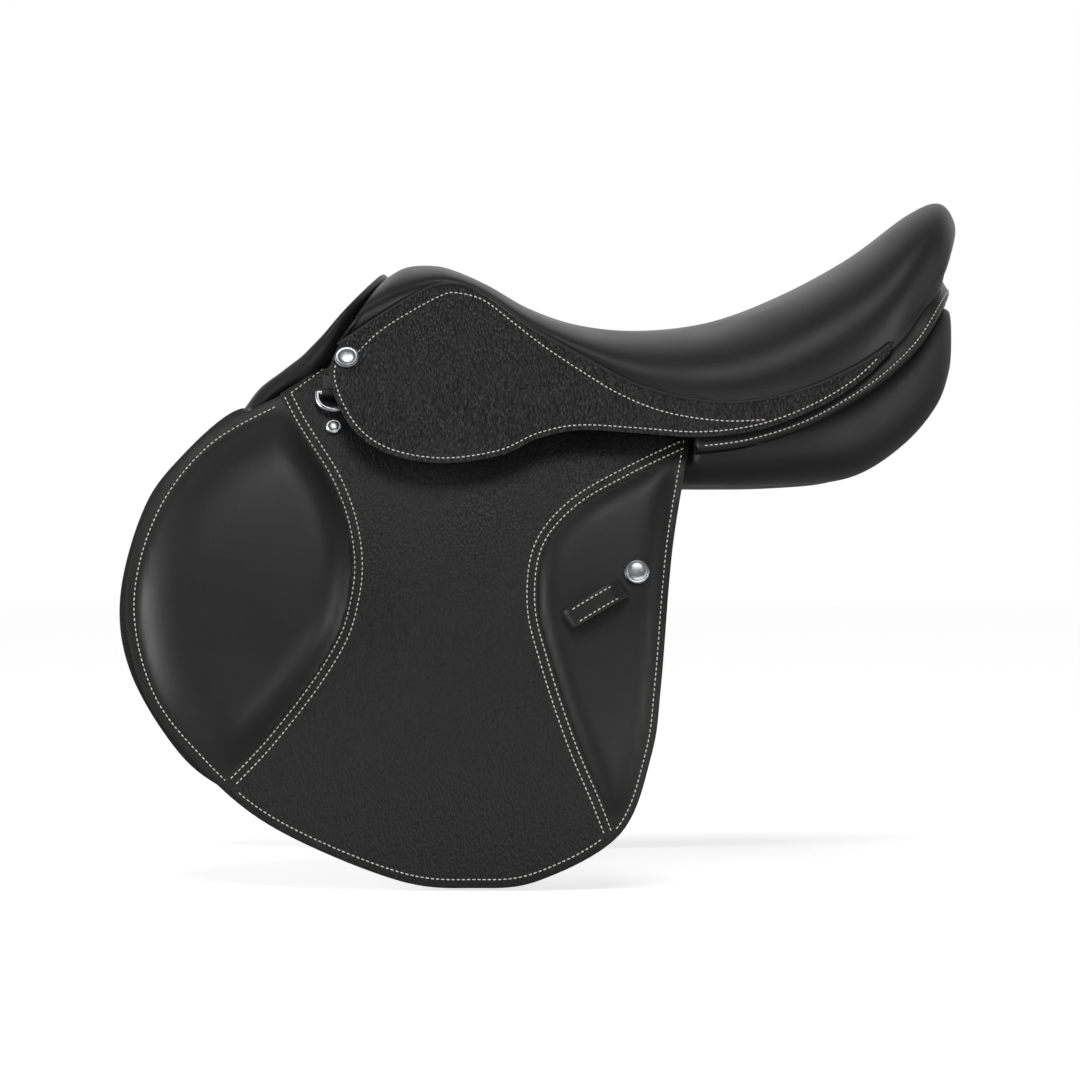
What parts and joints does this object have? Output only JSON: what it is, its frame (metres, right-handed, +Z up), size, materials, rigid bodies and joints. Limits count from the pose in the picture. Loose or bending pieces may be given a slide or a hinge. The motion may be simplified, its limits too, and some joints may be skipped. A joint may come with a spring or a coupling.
{
  "type": "jumping saddle",
  "caption": "Black leather jumping saddle with padded seat, forward-cut flaps with knee and thigh pads, lifting skirts over stirrup bars, girth straps, front rings, tree and panels.",
  "frame": {"origin": "on the centre plane, on the plane that the two panels bear on, below the lowest point of the seat; where the horse's spine passes", "axes": "+X towards the cantle, +Y across to the off side, +Z up; the pictured near side is at -Y"},
  "size_m": [0.5881, 0.3894, 0.48],
  "materials": {
    "smooth_leather": "smooth, satin black",
    "grip_leather": "fine pebble grain, matt black",
    "panel_leather": "soft smooth black",
    "nickel": "polished nickel plate",
    "steel": "plain forged steel",
    "beech_ply": "varnished laminated beech",
    "linen": "woven web",
    "foam": "soft seat foam"
  },
  "bodies": {
    "saddle": {"tree": "beech_ply", "gullet_plate": "steel", "head_rivets": "steel", "straining_web": "linen", "girth_web_front": "linen", "girth_web_rear": "linen", "seat_foam": "foam", "seat_cover": "smooth_leather", "panel_left": "panel_leather", "panel_right": "panel_leather", "front_roll": "smooth_leather", "rear_facing": "smooth_leather", "sweat_flap_left": "smooth_leather", "sweat_flap_right": "smooth_leather", "knee_block_left": "smooth_leather", "knee_block_right": "smooth_leather", "thigh_block_left": "smooth_leather", "thigh_block_right": "smooth_leather", "flap_top_left": "grip_leather", "flap_top_right": "grip_leather", "knee_pad_top_left": "smooth_leather", "knee_pad_top_right": "smooth_leather", "skirt_band_left": "grip_leather", "skirt_band_right": "grip_leather", "skirt_nails": "nickel", "stirrup_bar_left": "steel", "stirrup_bar_right": "steel", "bar_rivets": "steel", "catch_pins": "steel", "ring_chape_left": "smooth_leather", "ring_chape_right": "smooth_leather", "point_nails": "nickel"},
    "flap_left": {"flap_left": "grip_leather", "knee_pad_left": "smooth_leather", "thigh_pad_left": "smooth_leather", "keeper_left": "smooth_leather", "flap_nail_left": "nickel"},
    "skirt_left": {"skirt_left": "grip_leather"},
    "d_ring_left": {"d_ring_left": "nickel"},
    "bar_catch_left": {"bar_catch_left": "steel"},
    "girth_strap_front_left": {"girth_strap_front_left": "smooth_leather"},
    "girth_strap_middle_left": {"girth_strap_middle_left": "smooth_leather"},
    "girth_strap_rear_left": {"girth_strap_rear_left": "smooth_leather"},
    "flap_right": {"flap_right": "grip_leather", "knee_pad_right": "smooth_leather", "thigh_pad_right": "smooth_leather", "keeper_right": "smooth_leather", "flap_nail_right": "nickel"},
    "skirt_right": {"skirt_right": "grip_leather"},
    "d_ring_right": {"d_ring_right": "nickel"},
    "bar_catch_right": {"bar_catch_right": "steel"},
    "girth_strap_front_right": {"girth_strap_front_right": "smooth_leather"},
    "girth_strap_middle_right": {"girth_strap_middle_right": "smooth_leather"},
    "girth_strap_rear_right": {"girth_strap_rear_right": "smooth_leather"}
  },
  "joints": [
    {"name": "flap_left_lift", "type": "hinge", "parent": "saddle", "child": "flap_left", "pos_m": [0.0388, -0.12839, 0.0322], "axis": [-0.9862, -0.1006, -0.1313], "range_deg": [0, 80]},
    {"name": "flap_right_lift", "type": "hinge", "parent": "saddle", "child": "flap_right", "pos_m": [0.0388, 0.12839, 0.0322], "axis": [0.9862, -0.1006, 0.1313], "range_deg": [0, 80]},
    {"name": "skirt_left_lift", "type": "hinge", "parent": "saddle", "child": "skirt_left", "pos_m": [-0.04263, -0.14766, 0.03974], "axis": [-0.9692, 0.1181, 0.2163], "range_deg": [0, 70]},
    {"name": "skirt_right_lift", "type": "hinge", "parent": "saddle", "child": "skirt_right", "pos_m": [-0.04263, 0.14766, 0.03974], "axis": [0.9692, 0.1181, -0.2163], "range_deg": [0, 70]},
    {"name": "girth_strap_front_left_swing", "type": "hinge", "parent": "saddle", "child": "girth_strap_front_left", "pos_m": [-0.14006, -0.11046, 0.034], "axis": [0, -0.8864, 0.463], "range_deg": [-6, 6]},
    {"name": "girth_strap_front_right_swing", "type": "hinge", "parent": "saddle", "child": "girth_strap_front_right", "pos_m": [-0.14006, 0.11046, 0.034], "axis": [0, -0.8864, -0.463], "range_deg": [-6, 6]},
    {"name": "girth_strap_middle_left_swing", "type": "hinge", "parent": "saddle", "child": "girth_strap_middle_left", "pos_m": [-0.09506, -0.11638, 0.034], "axis": [0, -0.8886, 0.4587], "range_deg": [-6, 6]},
    {"name": "girth_strap_middle_right_swing", "type": "hinge", "parent": "saddle", "child": "girth_strap_middle_right", "pos_m": [-0.09506, 0.11638, 0.034], "axis": [0, -0.8886, -0.4587], "range_deg": [-6, 6]},
    {"name": "girth_strap_rear_left_swing", "type": "hinge", "parent": "saddle", "child": "girth_strap_rear_left", "pos_m": [-0.05006, -0.11046, 0.034], "axis": [0, -0.8864, 0.463], "range_deg": [-6, 6]},
    {"name": "girth_strap_rear_right_swing", "type": "hinge", "parent": "saddle", "child": "girth_strap_rear_right", "pos_m": [-0.05006, 0.11046, 0.034], "axis": [0, -0.8864, -0.463], "range_deg": [-6, 6]},
    {"name": "d_ring_left_swing", "type": "hinge", "parent": "saddle", "child": "d_ring_left", "pos_m": [-0.2164, -0.11484, 0.06632], "axis": [-1, 0, 0], "range_deg": [0, 20]},
    {"name": "d_ring_right_swing", "type": "hinge", "parent": "saddle", "child": "d_ring_right", "pos_m": [-0.2164, 0.11484, 0.06632], "axis": [1, 0, 0], "range_deg": [0, 20]},
    {"name": "bar_catch_left_close", "type": "hinge", "parent": "saddle", "child": "bar_catch_left", "pos_m": [-0.1234, -0.12987, 0.05351], "axis": [0, -0.8798, 0.4753], "range_deg": [0, 75]},
    {"name": "bar_catch_right_close", "type": "hinge", "parent": "saddle", "child": "bar_catch_right", "pos_m": [-0.1234, 0.12987, 0.05351], "axis": [0, -0.8798, -0.4753], "range_deg": [0, 75]}
  ]
}
